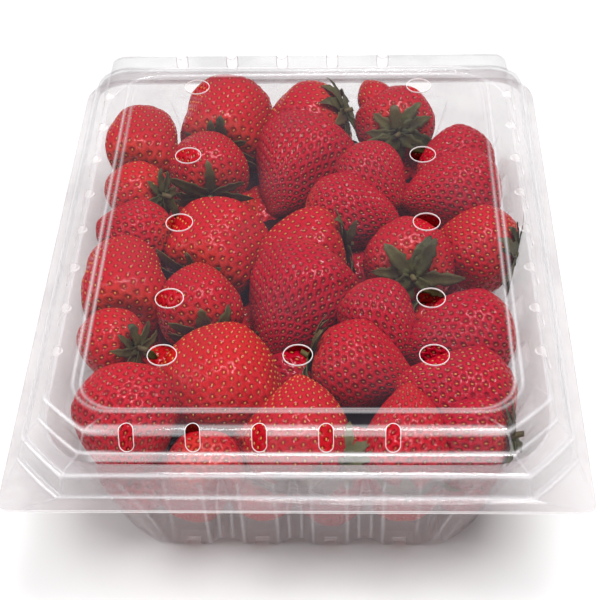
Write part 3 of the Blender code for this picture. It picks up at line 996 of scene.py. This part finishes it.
MIDDLE_FRONT = (
    (-31, -88, 34, 27, 1.15, 80, -60, {**CRIMSON, "ripe": 0.6, "gold": 0.6}),
    (20, -86, 35, 27, 1.15, 60, -50, {**CRIMSON, "cap": True}),
    (-12, -66, 30, 29, 1.1, 100, -40, CRIMSON),
    (-46, -56, 31, 28, 1.1, 20, -20, CRIMSON),
    (42, -60, 31, 29, 1.1, 200, -20, CRIMSON),
)
LOW_FRONT = (
    (-57, -79, 20, 28, 1.2, 90, -75, {**CRIMSON, "ripe": 0.6, "spacing": 3.4 * MM}),
    (-36, -83, 19, 27, 1.25, 60, -80, {**GOLDEN, "spacing": 3.4 * MM}),
    (-13, -82, 20, 28, 1.2, 100, -70, {**GOLDEN, "spacing": 3.4 * MM}),
    (11, -83, 18, 27, 1.25, 75, -85, {**CRIMSON, "spacing": 3.4 * MM}),
    (35, -82, 20, 28, 1.2, 110, -70, {**GOLDEN, "spacing": 3.4 * MM}),
    (57, -79, 20, 28, 1.2, 80, -75, {**CRIMSON, "ripe": 0.6, "spacing": 3.4 * MM}),
)


def collect(name, parts, material):
    """One piece from many small meshes."""
    whole = bmesh.new()
    for bm in parts:
        scrap = bpy.data.meshes.new("scrap")
        bm.to_mesh(scrap)
        bm.free()
        whole.from_mesh(scrap)
        bpy.data.meshes.remove(scrap)
    return piece(name, whole, [material])


def strawberries():
    top = placed(TOP_LAYER, 1)
    floor_layer, middle_layer = hidden_layers()
    everything = top + middle_layer + floor_layer
    skins = {}
    seeds = []
    caps = []
    for berry in everything:
        generator = random.Random(berry.number)
        bm, seats = skin(berry, generator)
        parts = [bm, seeds_of(berry, seats, everything, generator)]
        if berry.cap:
            parts.append(cap(berry, generator))
        for part in parts:
            for vert in part.verts:
                vert.co = kept_inside(berry.matrix @ vert.co)
        skins[berry] = bm
        seeds.append(parts[1])
        caps += parts[2:]
    half = len(top) // 2
    flesh = strawberry_flesh()
    seed = strawberry_seeds()
    return [
        core(painted_shade_fruit()),
        collect("strawberries_back", [skins[berry] for berry in top[:half]], flesh),
        collect("strawberries_front", [skins[berry] for berry in top[half:]], flesh),
        collect("strawberries_between", [skins[berry] for berry in middle_layer], flesh),
        collect("strawberries_below", [skins[berry] for berry in floor_layer], flesh),
        collect("seeds_above", seeds[: len(top)], seed),
        collect("seeds_below", seeds[len(top) :], seed),
        collect("leaf_caps", caps, leaf_green()),
    ]


# ---------------------------------------------------------------- room
def room():
    floor = bmesh.new()
    bmesh.ops.create_grid(floor, x_segments=1, y_segments=1, size=3.0)
    paper = Finish("pale_floor", Roughness=0.8)
    grain = paper.noise(30.0)
    paper.set(Base_Color=paper.mix(grain, (0.78, 0.78, 0.78), (0.82, 0.82, 0.82)))
    piece("floor", floor, [paper.material], smooth=False)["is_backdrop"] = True
    world = bpy.data.worlds.new("studio")
    bpy.context.scene.world = world
    world.use_nodes = True
    world.node_tree.nodes["Background"].inputs["Color"].default_value = (1.0, 1.0, 1.0, 1.0)
    world.node_tree.nodes["Background"].inputs["Strength"].default_value = 0.32
    softbox("key_light", (0.12, -0.05, 1.0), 0.5, 13.5)
    softbox("side_light", (-0.8, -0.2, 0.6), 0.5, 3.0)
    softbox("front_light", (0.1, -1.0, 0.25), 0.6, 2.0)


def softbox(name, place, size, power):
    light = bpy.data.lights.new(name, "AREA")
    light.shape = "SQUARE"
    light.size = size
    light.energy = power
    lamp = bpy.data.objects.new(name, light)
    lamp.location = place
    lamp.rotation_euler = (Vector((0, 0, 0.04)) - Vector(place)).to_track_quat("-Z", "Y").to_euler()
    bpy.context.scene.collection.objects.link(lamp)


def camera():
    lens = bpy.data.cameras.new("camera")
    lens.lens = 90.1
    lens.sensor_width = 36.0
    eye = bpy.data.objects.new("camera", lens)
    pitch = math.radians(42.4)
    yaw = math.radians(2.73)
    roll = math.radians(-1.94)
    forward = Vector(
        (-math.sin(yaw) * math.cos(pitch), math.cos(yaw) * math.cos(pitch), -math.sin(pitch))
    )
    level = Vector((math.cos(yaw), math.sin(yaw), 0.0))
    over = level.cross(forward)
    right = math.cos(roll) * level + math.sin(roll) * over
    up = -math.sin(roll) * level + math.cos(roll) * over
    eye.matrix_world = Matrix((right, up, -forward)).transposed().to_4x4()
    eye.matrix_world.translation = Vector((18.6, -425.5, 421.9)) * MM
    bpy.context.scene.collection.objects.link(eye)
    bpy.context.scene.camera = eye


def main():
    bpy.context.scene.view_settings.view_transform = "Standard"
    bpy.context.scene.cycles.transparent_max_bounces = 40
    camera()
    room()
    lid_film = clear_film("lid_film", 0.052, (0.05, 0.035, 0.06), 0.24, True)
    tub_film = clear_film("tub_film", 0.17, (0.50, 0.425, 0.435), 0.15, False)
    cut = cut_edge_glow("cut_edge_glow", 0.62)
    faint = cut_edge_glow("cut_edge_glow_faint", 0.38)
    tub_shell = tub(tub_film, cut)
    lid_shell = lid(lid_film, cut, faint)
    rims = vent_rims(lid_shell, cut)
    strip = fold(tub_film)
    fruit = strawberries()
    for made in [tub_shell, strip, *fruit]:
        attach(made, "tub")
    for made in (lid_shell, rims):
        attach(made, "lid")
    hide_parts("tub")
    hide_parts("lid")
    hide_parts("berries")


main()
[[list(corner) for corner in box] for box in (cad_bounds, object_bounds())]
